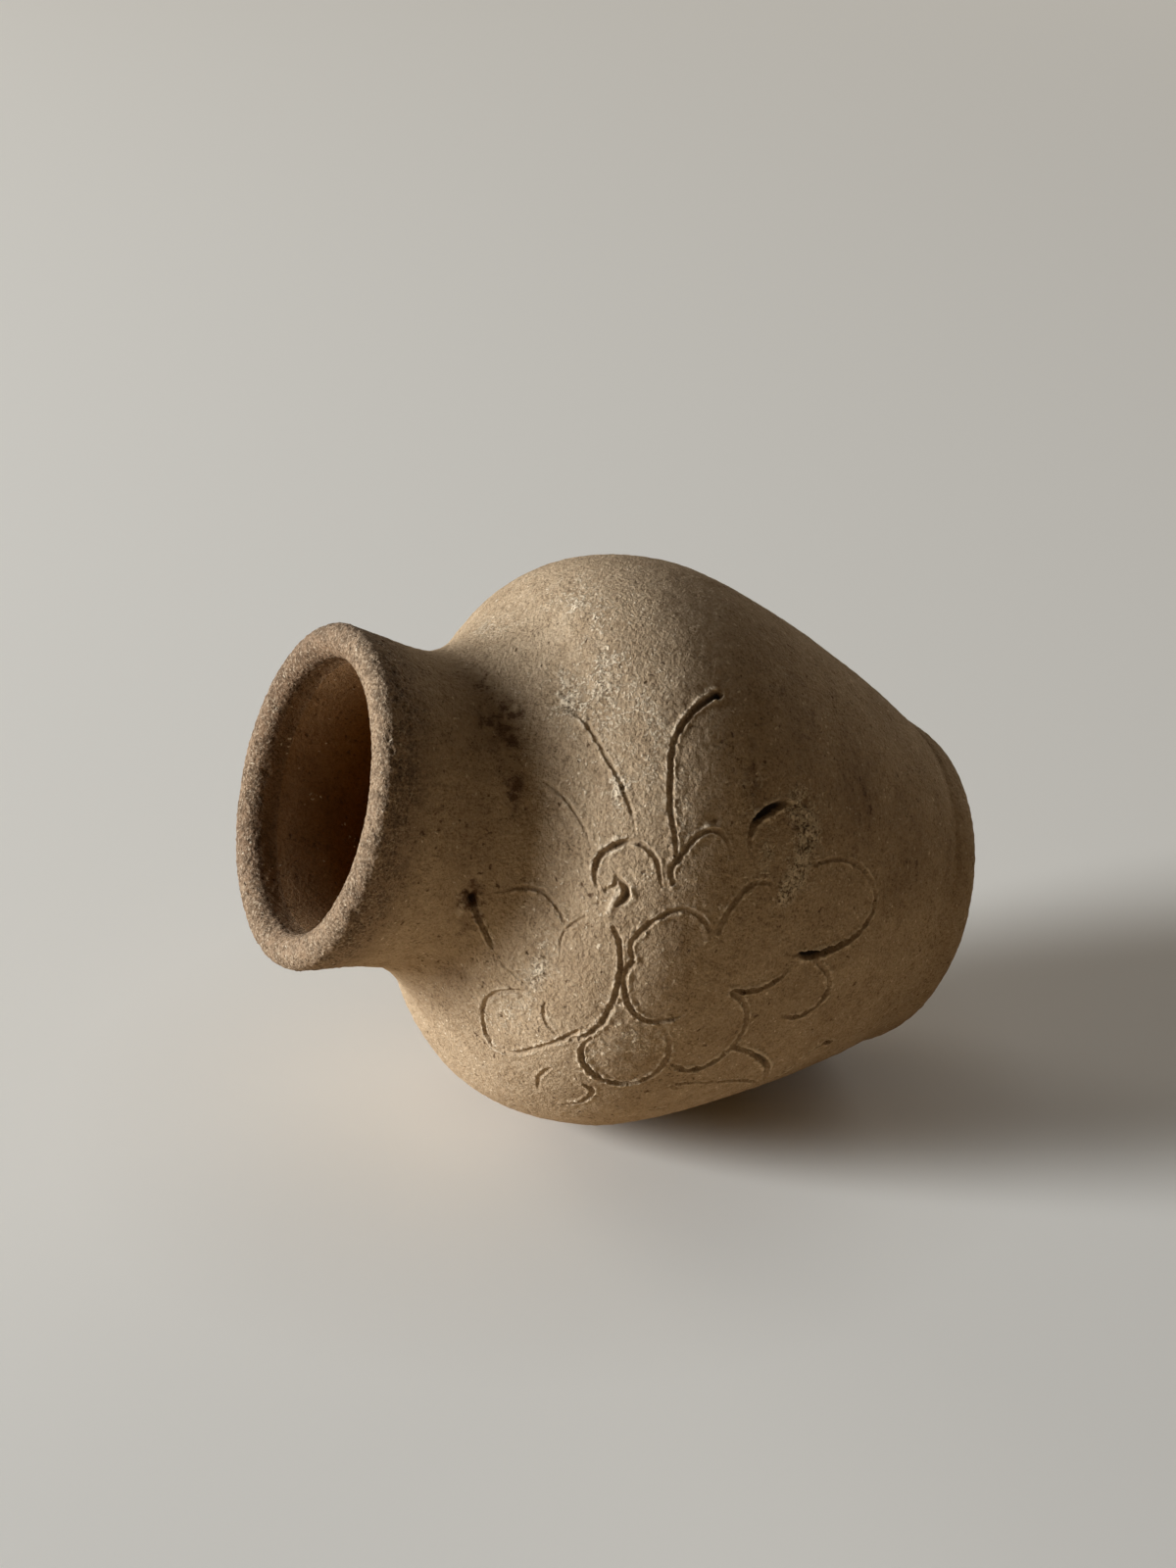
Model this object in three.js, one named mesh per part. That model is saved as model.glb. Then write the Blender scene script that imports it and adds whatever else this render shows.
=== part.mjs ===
import * as THREE from 'three';

// A small unglazed clay pot, built as the potter builds it: a foot disc, two halves of the belly,
// a neck collar and a rolled lip, each luted to the next across a flat ring-shaped joint.
// Millimetres. The pot stands on its foot, its axis is Z, and the origin is the middle of the foot.

// Foot disc
const footHeight = 6;
const footFlatRadius = 21.6; // the flat that the pot stands on
const footTopRadius = 26.1; // the disc's edge, under the wall
const footSideLean = 12; // degrees that the disc's side leans out at its top
const footEdgeReach = 2.6; // how far the rounded lower edge reaches along each side

// Lower half of the belly
const lowerBellyHeight = 44.5; // from the foot disc to the widest ring
const wallStartInset = 0.2; // the wall starts this far inside the disc's edge, which leaves a crease
const wallStartLean = 31; // degrees that the wall leans out where it starts
const bellyRadius = 42;

// Upper half of the belly and the shoulder
const shoulderRise = 21; // from the widest ring to the middle of the shoulder
const shoulderRadius = 32.2; // at the middle of the shoulder, where the outline stops swelling
const shoulderLean = 57; // degrees that the wall leans in there

// Neck collar
const neckRootRise = 13.3; // from the middle of the shoulder to the waist of the neck
const neckRadius = 22.7; // at the waist
const neckJointDrop = 5.8; // the collar is luted on this far below the waist

// Lip
const mouthRise = 15.2; // from the waist to the top of the lip
const lipHeight = 5; // how much of that is the rolled lip
const lipRadius = 24.7;
const lipLean = 4; // degrees that the neck leans out under the lip
const lipThickness = 5;
const lipOuterRound = 1.6;
const lipInnerRound = 1.4;

// Walls
const bellyThickness = 5;
const neckThickness = 4.4;

// How full each stretch of the outline is, as the length of its curve handles over its height
const wallStartFullness = 0.28;
const lowerBellyFullness = 0.18;
const upperBellyFullness = 0.52;
const shoulderFullness = 0.36;
const neckFullness = 0.36;

// Fineness of the faceted solids
const roundSteps = 64;
const longCurveSteps = 9;
const shortCurveSteps = 6;
const edgeSteps = 3;

// Heights that follow from the sizes above
const bellyZ = footHeight + lowerBellyHeight;
const shoulderZ = bellyZ + shoulderRise;
const waistZ = shoulderZ + neckRootRise;
const neckJointZ = waistZ - neckJointDrop;
const topZ = waistZ + mouthRise;
const lipJointZ = topZ - lipHeight;

const leanDirection = (degrees) => {
  const angle = THREE.MathUtils.degToRad(degrees);
  return new THREE.Vector2(Math.sin(angle), Math.cos(angle));
};

// A point's x is its distance from the pot's axis and its y is its height.
const at = (radius, z) => new THREE.Vector2(radius, z);
const upright = leanDirection(0);

// A smooth stretch of outline. Each end has a point, the way the outline climbs there, and a handle.
function stretch(start, startWay, startHandle, end, endWay, endHandle, steps) {
  const curve = new THREE.CubicBezierCurve(
    start,
    start.clone().addScaledVector(startWay, startHandle),
    end.clone().addScaledVector(endWay, -endHandle),
    end,
  );
  const samples = [];
  for (let i = 0; i <= steps; i += 1) {
    samples.push({ point: curve.getPoint(i / steps), way: curve.getTangent(i / steps) });
  }
  return samples;
}

// The outside of the wall, from the top of the foot disc to the top of the pot
function wallSamples() {
  const wallStart = at(footTopRadius - wallStartInset, footHeight);
  const belly = at(bellyRadius, bellyZ);
  const shoulder = at(shoulderRadius, shoulderZ);
  const waist = at(neckRadius, waistZ);
  const lip = at(lipRadius, topZ);
  const shoulderWay = leanDirection(-shoulderLean);
  return [
    stretch(
      wallStart, leanDirection(wallStartLean), wallStartFullness * lowerBellyHeight,
      belly, upright, lowerBellyFullness * lowerBellyHeight, longCurveSteps,
    ),
    stretch(
      belly, upright, upperBellyFullness * shoulderRise,
      shoulder, shoulderWay, shoulderFullness * shoulderRise, longCurveSteps,
    ),
    stretch(
      shoulder, shoulderWay, neckFullness * neckRootRise,
      waist, upright, neckFullness * neckRootRise, shortCurveSteps,
    ),
    stretch(
      waist, upright, neckFullness * mouthRise,
      lip, leanDirection(lipLean), neckFullness * mouthRise, shortCurveSteps,
    ),
  ].flatMap((samples, i) => (i === 0 ? samples : samples.slice(1)));
}

// The wall's thickness at a height: even round the belly, thinner in the neck, thicker at the lip
function thicknessAt(z) {
  if (z <= waistZ) {
    const share = THREE.MathUtils.smoothstep(z, shoulderZ, waistZ);
    return THREE.MathUtils.lerp(bellyThickness, neckThickness, share);
  }
  return THREE.MathUtils.lerp(neckThickness, lipThickness, THREE.MathUtils.smoothstep(z, waistZ, topZ));
}

const samples = wallSamples();
const outside = samples.map(({ point }) => point);
const inside = samples.map(({ point, way }) => {
  const inward = at(-way.y, way.x);
  return point.clone().addScaledVector(inward, thicknessAt(point.y));
});

// The radius of an outline at a height, run on in a straight line past the outline's ends
function radiusAt(outline, z) {
  let upper = outline.findIndex((point) => point.y > z);
  if (upper < 0) upper = outline.length - 1;
  upper = Math.max(upper, 1);
  const a = outline[upper - 1];
  const b = outline[upper];
  return THREE.MathUtils.mapLinear(z, a.y, b.y, a.x, b.x);
}

// The part of an outline between two heights, with a point on each of them
function between(outline, fromZ, toZ) {
  const nearest = 0.2;
  const kept = outline.filter(({ y }) => y > fromZ + nearest && y < toZ - nearest);
  return [at(radiusAt(outline, fromZ), fromZ), ...kept, at(radiusAt(outline, toZ), toZ)];
}

function quarterRound(centreRadius, centreZ, round, startDegrees) {
  const points = [];
  for (let i = 0; i <= edgeSteps; i += 1) {
    const angle = THREE.MathUtils.degToRad(startDegrees + (90 * i) / edgeSteps);
    points.push(at(centreRadius + round * Math.cos(angle), centreZ + round * Math.sin(angle)));
  }
  return points;
}

// Turns an outline round the pot's axis and stands the result on Z
function turned(outline) {
  const geometry = new THREE.LatheGeometry(outline, roundSteps);
  geometry.rotateX(Math.PI / 2);
  return geometry;
}

function wallSection(fromZ, toZ) {
  const outline = [...between(outside, fromZ, toZ), ...between(inside, fromZ, toZ).reverse()];
  return turned([...outline, outline[0].clone()]);
}

function footDisc() {
  const flat = at(footFlatRadius, 0);
  const edge = at(footTopRadius, footHeight);
  const side = stretch(
    flat, at(1, 0), footEdgeReach,
    edge, leanDirection(footSideLean), footEdgeReach, shortCurveSteps,
  ).map(({ point }) => point);
  return turned([at(0, 0), ...side, at(0, footHeight)]);
}

function lip() {
  const mouthRadius = lipRadius - lipThickness;
  const outerStart = topZ - lipOuterRound;
  const innerStart = topZ - lipInnerRound;
  const outline = [
    ...between(outside, lipJointZ, outerStart).slice(0, -1),
    ...quarterRound(lipRadius - lipOuterRound, outerStart, lipOuterRound, 0),
    ...quarterRound(mouthRadius + lipInnerRound, innerStart, lipInnerRound, 90),
    ...between(inside, lipJointZ, innerStart).reverse().slice(1),
  ];
  return turned([...outline, outline[0].clone()]);
}

function clay(name, color, roughness) {
  return new THREE.MeshStandardMaterial({ name, color, roughness, metalness: 0 });
}

const pot = new THREE.Group();
pot.name = 'decorative_pot';

function add(name, geometry, material) {
  const mesh = new THREE.Mesh(geometry, material);
  mesh.name = name;
  pot.add(mesh);
}

add('foot_disc', footDisc(), clay('foot clay', 0x8a7253, 0.95));
add('lower_belly', wallSection(footHeight, bellyZ), clay('belly clay', 0x967d5c, 0.93));
add('upper_belly', wallSection(bellyZ, neckJointZ), clay('shoulder clay', 0xa28966, 0.93));
add('neck_collar', wallSection(neckJointZ, lipJointZ), clay('neck clay', 0x8a7050, 0.92));
add('rim_lip', lip(), clay('lip clay', 0xa88f72, 0.96));

export default pot;
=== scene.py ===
import math

import bmesh
import bpy
import numpy as np
from mathutils import Matrix, Quaternion, Vector
from mathutils.geometry import interpolate_bezier


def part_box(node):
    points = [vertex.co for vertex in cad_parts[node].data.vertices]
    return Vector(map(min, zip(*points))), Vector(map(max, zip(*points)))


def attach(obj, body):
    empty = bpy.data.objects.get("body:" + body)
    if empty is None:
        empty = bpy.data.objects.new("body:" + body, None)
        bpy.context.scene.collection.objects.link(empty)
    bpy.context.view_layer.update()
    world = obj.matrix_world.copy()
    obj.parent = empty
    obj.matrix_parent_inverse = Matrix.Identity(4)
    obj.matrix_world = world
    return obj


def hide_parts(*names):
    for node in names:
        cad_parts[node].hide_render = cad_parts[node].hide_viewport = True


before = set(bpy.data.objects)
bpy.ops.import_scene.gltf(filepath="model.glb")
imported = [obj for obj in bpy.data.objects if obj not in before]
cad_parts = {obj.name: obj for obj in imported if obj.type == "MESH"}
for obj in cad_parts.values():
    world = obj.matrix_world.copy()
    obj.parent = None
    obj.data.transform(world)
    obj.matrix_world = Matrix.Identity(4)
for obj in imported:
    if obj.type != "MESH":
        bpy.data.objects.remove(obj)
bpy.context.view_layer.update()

# The pot stands upright on its foot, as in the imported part. In the picture it lies on its side, so here
# the camera is tipped over, and the table is a plane that leans against the belly.
# Lengths are in millimetres and angles in degrees. Each finished mesh is scaled to metres.

potOutline = {
    # radius, height, lean of the wall there, length of the curve's handle below and above
    "footTop": (25.9, 6.0, 31, 0.0, 12.5),
    "belly": (42.0, 50.5, 0, 8.0, 10.9),
    "shoulder": (32.2, 71.5, -57, 7.6, 4.8),
    "waist": (22.7, 84.8, 0, 4.8, 5.5),
    "lip": (24.7, 100.0, 4, 5.5, 0.0),
}
bellyRadius = potOutline["belly"][0]
shoulderHeight, waistHeight, potHeight = (potOutline[knot][1] for knot in ("shoulder", "waist", "lip"))
wallThickness = {"belly": 5.0, "neck": 4.4, "lip": 5.0}
footShape = {
    "flat": 21.6, "top": 26.1, "lean": 12, "round": 2.6,
    "creaseReach": 1.2, "creaseRounds": 9,  # how far the wall runs into the foot, and how softly
    "creaseDepth": 0.05, "creaseWidth": 0.6,
}
outlineSteps = {"wall": 240, "footSide": 60, "whole": 1400}
mmPerMetre = 1000.0
tiny = 1e-9


def smoothStep(value, start, end):
    share = np.clip((value - start) / (end - start), 0.0, 1.0)
    return share * share * (3 - 2 * share)


def leaning(degrees):
    return Vector((math.sin(math.radians(degrees)), math.cos(math.radians(degrees))))


def arcLengths(line):
    return np.concatenate([[0.0], np.cumsum(np.linalg.norm(np.diff(line, axis=0), axis=1))])


def radiusOn(line, height):
    return np.interp(height, line[:, 1], line[:, 0])


def sampleOutline(pointsPerCurve):
    knots = list(potOutline.values())
    line = []
    for lower, upper in zip(knots, knots[1:]):
        start, end = Vector(lower[:2]), Vector(upper[:2])
        leave = start + leaning(lower[2]) * lower[4]
        arrive = end - leaning(upper[2]) * upper[3]
        line += [tuple(point) for point in interpolate_bezier(start, leave, arrive, end, pointsPerCurve)][:-1]
    return np.array(line + [knots[-1][:2]])


def insideOf(line):
    way = np.gradient(line, axis=0)
    way /= np.linalg.norm(way, axis=1)[:, None]
    neckShare = smoothStep(line[:, 1], shoulderHeight, waistHeight)
    lipShare = smoothStep(line[:, 1], waistHeight, potHeight)
    depth = wallThickness["belly"] + (wallThickness["neck"] - wallThickness["belly"]) * neckShare
    depth += (wallThickness["lip"] - wallThickness["neck"]) * lipShare
    inside = line + np.stack([-way[:, 1], way[:, 0]], 1) * depth[:, None]
    inside[:, 1] = np.maximum.accumulate(inside[:, 1])
    return inside


def withFoot(wall):
    start, end = Vector((footShape["flat"], 0)), Vector((footShape["top"], wall[0][1]))
    handle = footShape["round"]
    arrive = end - leaning(footShape["lean"]) * handle
    side = interpolate_bezier(start, start + Vector((handle, 0)), arrive, end, outlineSteps["footSide"])
    line = np.array([*[tuple(point) for point in side], *wall[1:]])
    arcs = arcLengths(line)
    steps = np.linspace(0, arcs[-1], outlineSteps["whole"])
    line = np.stack([np.interp(steps, arcs, line[:, column]) for column in range(2)], 1)
    # The wall runs into the foot in a soft crease
    share = np.exp(-((line[1:-1, 1] - end.y) / footShape["creaseReach"]) ** 2)[:, None]
    for _ in range(footShape["creaseRounds"]):
        line[1:-1] += share * ((line[:-2] + line[2:]) / 2 - line[1:-1])
    return line


wallLine = sampleOutline(outlineSteps["wall"])
innerLine = insideOf(wallLine)
outerLine = withFoot(wallLine)
outerArc = arcLengths(outerLine)
print("outline ready:", len(outerLine), "points")


def arcAt(height):
    return np.interp(height, outerLine[:, 1], outerArc)


def onPot(angle, height):
    radius = radiusOn(outerLine, height)
    return np.stack([radius * np.cos(angle), radius * np.sin(angle), height], -1)


# The drawing: a bunch of round-petalled flowers on thin stems, scratched into the damp clay with a
# blunt point. Each stroke is a list of places it goes through: angle round the pot, height, pressure.

strokes = {
    "longStem": [(-84.3, 56.8, 1.5), (-85.6, 58.6, 1.2), (-88.6, 61.1, 0.95), (-92.5, 63.0, 0.85),
                 (-97.0, 63.9, 0.8), (-103.0, 64.1, 0.8), (-109.0, 63.8, 0.75), (-114.0, 62.9, 0.6),
                 (-117.5, 62.4, 0.3)],
    "middleStem": [(-76.0, 74.5, 0.1), (-80.5, 73.7, 0.3), (-85.0, 72.5, 0.5), (-90.5, 71.6, 0.6),
                   (-96.0, 70.8, 0.6), (-101.0, 69.8, 0.6), (-106.0, 68.8, 0.45), (-111.0, 67.9, 0.25),
                   (-115.0, 67.3, 0.05)],
    "shortStem": [(-101.0, 76.8, 0.05), (-104.5, 75.1, 0.3), (-109.5, 73.4, 0.35), (-114.0, 72.2, 0.3),
                  (-118.0, 71.5, 0.1)],
    "upperBud": [(-127.0, 70.2, 0.3), (-124.0, 70.7, 0.75), (-120.3, 70.6, 1.0), (-118.2, 69.9, 1.1),
                 (-116.4, 68.9, 1.15), (-115.6, 67.7, 0.6), (-116.4, 66.2, 0.7), (-118.3, 64.9, 0.6),
                 (-121.3, 64.1, 0.45), (-123.5, 63.5, 0.2)],
    "budScrap": [(-129.5, 68.0, 0.4), (-127.3, 67.3, 1.3), (-125.3, 67.6, 1.0), (-123.7, 68.7, 0.5)],
    "budNick": [(-127.2, 69.3, 0.5), (-125.6, 68.7, 0.7), (-124.2, 68.6, 0.4)],
    "rightPetal": [(-122.5, 62.3, 0.5), (-120.0, 62.8, 0.8), (-117.5, 62.1, 0.9), (-114.6, 61.0, 0.8),
                   (-112.4, 59.8, 0.7), (-111.4, 58.3, 0.75), (-111.8, 56.8, 0.6), (-113.2, 55.8, 0.4),
                   (-115.5, 55.0, 0.1)],
    "heartLeft": [(-147.5, 54.9, 0.2), (-149.6, 56.4, 0.6), (-151.1, 58.6, 0.8), (-150.7, 60.8, 0.8),
                  (-149.0, 62.6, 0.75), (-145.8, 64.0, 0.8), (-142.6, 64.6, 0.9), (-140.0, 64.3, 0.9)],
    "heartRight": [(-139.0, 64.5, 0.7), (-136.5, 65.2, 0.6), (-133.4, 64.6, 0.75), (-130.4, 63.4, 0.7),
                   (-128.0, 61.7, 0.65), (-127.0, 59.8, 0.6), (-127.7, 57.7, 0.6), (-129.7, 56.0, 0.5),
                   (-132.0, 55.2, 0.15)],
    "eastPetal": [(-115.2, 51.9, 0.2), (-112.3, 52.6, 0.6), (-109.6, 52.3, 0.9), (-107.6, 51.3, 1.5),
                  (-106.0, 49.8, 1.9), (-104.7, 48.1, 1.5), (-103.9, 46.4, 0.8), (-104.0, 44.4, 0.5)],
    "lowerPetalTop": [(-130.2, 54.5, 0.4), (-127.0, 54.2, 0.75), (-124.0, 53.3, 0.7), (-121.4, 52.1, 0.7),
                      (-119.8, 50.6, 0.6), (-119.4, 48.6, 0.35), (-119.9, 46.4, 0.1)],
    "lowerPetalSide": [(-141.6, 49.0, 1.0), (-141.4, 46.8, 0.9), (-140.9, 44.6, 0.85), (-139.6, 42.6, 0.85),
                       (-137.9, 41.1, 0.7), (-135.6, 40.2, 0.3)],
    "bottomPetal": [(-133.2, 42.0, 0.25), (-133.2, 39.6, 0.5), (-133.5, 37.4, 1.5), (-132.9, 34.6, 1.6),
                    (-131.9, 32.2, 1.2), (-130.0, 29.4, 1.0), (-127.2, 27.3, 0.95), (-123.8, 26.1, 0.9),
                    (-120.5, 26.0, 0.75), (-117.0, 27.2, 0.6), (-114.5, 29.4, 0.6), (-113.1, 32.0, 0.65),
                    (-112.8, 35.0, 0.6), (-113.4, 37.6, 0.5), (-114.8, 40.2, 0.3)],
    "smallPetal": [(-148.0, 37.2, 0.2), (-149.1, 34.8, 0.8), (-148.4, 32.6, 0.9), (-146.6, 31.0, 0.85),
                   (-143.4, 30.0, 1.1), (-140.2, 30.7, 0.8), (-137.4, 32.5, 0.7), (-135.4, 34.9, 0.4)],
    "westPetal": [(-160.6, 52.0, 0.4), (-161.8, 49.6, 1.1), (-161.4, 47.2, 1.3), (-159.3, 45.4, 1.3),
                  (-156.6, 44.3, 1.1), (-153.0, 43.7, 0.8), (-149.4, 43.9, 0.7), (-146.0, 45.0, 0.7),
                  (-143.4, 46.8, 0.8), (-141.8, 49.0, 0.9)],
    "northPetal": [(-160.4, 64.4, 0.3), (-163.6, 64.6, 0.7), (-166.8, 63.6, 1.1), (-169.0, 61.6, 1.2),
                   (-169.9, 59.0, 1.2), (-169.2, 56.4, 1.0), (-166.8, 54.5, 0.8), (-162.4, 53.4, 0.8),
                   (-158.0, 53.7, 0.7), (-154.4, 55.0, 0.5), (-152.4, 56.2, 0.2)],
    "farPetal": [(-160.8, 71.9, 0.2), (-164.0, 72.8, 0.5), (-167.6, 73.8, 0.6), (-172.0, 74.3, 0.6),
                 (-177.0, 74.2, 0.6), (-181.4, 73.3, 0.7), (-184.8, 72.0, 0.8), (-185.2, 70.9, 0.9),
                 (-183.0, 70.0, 0.6), (-179.0, 69.1, 0.7), (-174.0, 68.5, 0.7), (-169.0, 67.7, 0.6),
                 (-164.4, 66.9, 0.8), (-160.6, 66.2, 0.4)],
    "farBudTop": [(-183.2, 64.4, 0.2), (-180.2, 65.4, 0.5), (-177.2, 65.7, 0.6), (-174.4, 65.6, 0.3)],
    "farBudFoot": [(-184.6, 59.8, 0.3), (-182.4, 59.0, 0.6), (-179.0, 58.6, 0.8), (-176.0, 58.8, 0.8),
                   (-174.2, 59.6, 0.8), (-173.8, 60.8, 0.4)],
    "leafGash": [(-157.0, 77.2, 0.3), (-154.6, 78.2, 1.0), (-152.0, 79.2, 0.8), (-149.4, 80.3, 0.9),
                 (-146.4, 81.2, 0.9), (-143.6, 82.0, 1.5), (-141.8, 81.9, 0.5)],
    "leafSide": [(-139.4, 80.2, 0.1), (-136.4, 78.5, 0.4), (-134.0, 76.9, 0.5), (-133.1, 75.3, 0.55),
                 (-134.3, 73.8, 0.5), (-136.8, 72.5, 0.4), (-138.8, 71.9, 0.1)],
    "leafFoot": [(-159.6, 76.0, 0.1), (-160.2, 74.0, 0.3), (-159.9, 72.0, 0.2)],
    "spineLow": [(-134.4, 67.6, 0.5), (-136.4, 66.7, 0.8), (-139.4, 65.9, 0.7), (-143.0, 65.2, 0.8),
                 (-148.0, 64.6, 0.8), (-153.0, 64.4, 0.8), (-157.0, 64.5, 0.9), (-160.2, 65.1, 0.8),
                 (-163.6, 66.2, 0.4)],
    "spineHigh": [(-134.6, 70.4, 0.3), (-137.4, 71.2, 0.4), (-140.6, 71.7, 0.4), (-144.0, 71.6, 0.35),
                  (-146.6, 71.2, 0.1)],
    "spineCurl": [(-160.0, 70.4, 0.3), (-162.4, 70.1, 0.5), (-164.2, 69.2, 0.5), (-165.0, 67.8, 0.3)],
    "longLeaf": [(-155.4, 44.0, 0.8), (-156.6, 41.6, 0.85), (-158.6, 38.8, 0.9), (-161.4, 35.9, 1.1),
                 (-165.4, 33.0, 1.2), (-169.4, 31.2, 0.9), (-173.0, 29.8, 0.6), (-176.0, 28.6, 0.3)],
    "bentLeaf": [(-168.4, 47.4, 0.2), (-168.0, 48.8, 0.6), (-166.7, 49.2, 0.6), (-166.3, 47.0, 0.5),
                 (-166.9, 43.6, 0.5), (-168.3, 39.4, 0.6), (-170.2, 36.0, 0.7), (-173.0, 32.6, 0.6),
                 (-177.0, 29.4, 0.3)],
    "tick": [(-178.4, 48.0, 0.4), (-178.0, 46.6, 0.7), (-178.4, 45.2, 0.3)],
    "lowLeaf": [(-177.0, 26.2, 0.4), (-173.2, 25.8, 0.8), (-169.0, 25.6, 0.6), (-165.6, 25.0, 0.6),
                (-163.2, 23.6, 0.9), (-163.0, 22.2, 1.4), (-163.6, 21.0, 0.9)],
}
groove = {
    "halfWidth": 0.49,  # at a pressure of 1
    "leastWidth": 0.19,  # however light the pressure
    "depth": 0.55, "pressPower": 1.2,
    "roundness": 0.85,  # of the floor: 1 is a plain hollow, less has steeper sides
    "deepest": 0.95,  # no line or dent goes deeper
    "burr": 0.27,  # how high the pushed-up clay stands beside the groove
    "burrStart": 0.4, "burrWidth": 0.17,
    "burrTail": 0.50,  # how far it takes to come down again
    "burrMostPress": 1.2,
    "burrCrumbs": (0.75, 0.8, 0.1, 1.7),  # usual height, how much it varies, least and most
    "burrGone": 0.05,  # no burr is left where another line cuts this deep
    "settle": 0.20,  # the clay sinks a little on both sides, which leaves the petals puffed up
    "settleReach": 2.0,
    "ragged": 0.20, "raggedSizes": (0.9, 0.42),
    "fray": 0.08, "crumbSizes": (1.0, 0.45),
    "smallShare": 0.6,  # of the smaller noise in both
    "leastPress": 0.02,
    "fineReach": 1.6,  # the mesh gets finer within this distance of a stroke, and finer still
    "finestReach": 0.85,
    "sampleSpacing": 0.2, "leastSpacing": 0.01,
}


def strokeSamples(way):
    angles, heights, presses = np.array(way, float).T
    radius = radiusOn(outerLine, heights.mean())
    points = [Vector(values) for values in zip(np.radians(angles) * radius, arcAt(heights), presses)]
    padded = [points[0], *points, points[-1]]
    samples = []
    # A smooth curve through all the places
    for before, start, end, after in zip(padded, padded[1:], padded[2:], padded[3:]):
        count = max(2, int((end - start).xy.length / groove["sampleSpacing"]) + 1)
        leave = start + (end - before) / 6
        arrive = end - (after - start) / 6
        samples += [tuple(point) for point in interpolate_bezier(start, leave, arrive, end, count)]
    across, arcs, presses = np.array(samples).T
    places = onPot(across / radius, np.interp(arcs, outerArc, outerLine[:, 1]))
    moves = np.linalg.norm(np.diff(places, axis=0), axis=1)
    kept = np.concatenate([[True], moves > groove["leastSpacing"]])
    return places[kept], np.maximum(presses[kept], groove["leastPress"])


drawnStrokes = [strokeSamples(way) for way in strokes.values()]
allSamples = np.concatenate([place for place, _ in drawnStrokes])
print("strokes ready:", len(drawnStrokes), "with", len(allSamples), "samples")

# Evenly mixed noise from a lattice of directions that is the same in each run
latticeSize = 256
latticeSource = np.random.default_rng(41)
latticeOrder = latticeSource.permutation(latticeSize)
latticeWays = latticeSource.normal(size=(latticeSize, 3))
latticeWays /= np.linalg.norm(latticeWays, axis=1)[:, None]
noiseShift, bumpShift = 17.31, 9.73  # how far the next seed's lattice lies from this one's
noiseGain = 1.7  # brings the noise near to a range of -1 to 1
bumpWander, smallestBump = 0.42, 0.6  # in cells, and as a share of the largest
sizeDraw, chanceDraw = 37, 91  # these turn a cell's seed into its other random values


def latticeSeeds(cells):
    seeds = np.zeros(len(cells), int)
    for column in range(3):
        seeds = latticeOrder[(seeds + cells[:, column]) % latticeSize]
    return seeds


def clayNoise(points, size, seed):
    spots = points / size + noiseShift * seed
    cells = np.floor(spots).astype(int)
    inside = spots - cells
    fade = inside ** 3 * (inside * (inside * 6 - 15) + 10)
    total = np.zeros(len(points))
    for corner in np.ndindex(2, 2, 2):
        ways = latticeWays[latticeSeeds(cells + corner)]
        weight = np.where(corner, fade, 1 - fade).prod(1)
        total += weight * (ways * (inside - corner)).sum(1)
    return noiseGain * total


def bumpField(points, spacing, chance, reach, seed):
    # One round bump in some of the cells, each with its own place and size
    spots = points / spacing + bumpShift * seed
    cells = np.floor(spots).astype(int)
    best = np.zeros(len(points))
    for corner in np.ndindex(3, 3, 3):
        around = cells + corner - 1
        seeds = latticeSeeds(around)
        centre = around + 0.5 + bumpWander * latticeWays[seeds]
        size = reach * (smallestBump + (1 - smallestBump) * (seeds * sizeDraw % latticeSize) / latticeSize)
        share = np.clip(1 - (np.linalg.norm(spots - centre, axis=1) / size) ** 2, 0, 1)
        best = np.maximum(best, share * (seeds * chanceDraw % latticeSize < latticeSize * chance))
    return best


farAway = 1e3
pointsAtOnce = 4000


def nearest(points, samples, reach):
    distance = np.full(len(points), farAway)
    which = np.zeros(len(points), int)
    ways = np.gradient(samples, axis=0)
    ways /= np.linalg.norm(ways, axis=1)[:, None]
    centre = samples.mean(0)
    radius = np.linalg.norm(samples - centre, axis=1).max() + reach
    close = np.flatnonzero(np.linalg.norm(points - centre, axis=1) < radius)
    for part in np.array_split(close, len(close) // pointsAtOnce + 1):
        apart = (points[part] ** 2).sum(1)[:, None] + (samples ** 2).sum(1) - 2 * points[part] @ samples.T
        found = apart.argmin(1)
        offset = points[part] - samples[found]
        along = (offset * ways[found]).sum(1)
        along[(found == 0) | (found == len(samples) - 1)] = 0.0
        which[part] = found
        distance[part] = np.sqrt(np.maximum((offset ** 2).sum(1) - along ** 2, 0))
    return distance, which


def twoNoises(points, sizes, smallShare, seed):
    return clayNoise(points, sizes[0], seed) + smallShare * clayNoise(points, sizes[1], seed + 1)


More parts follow.
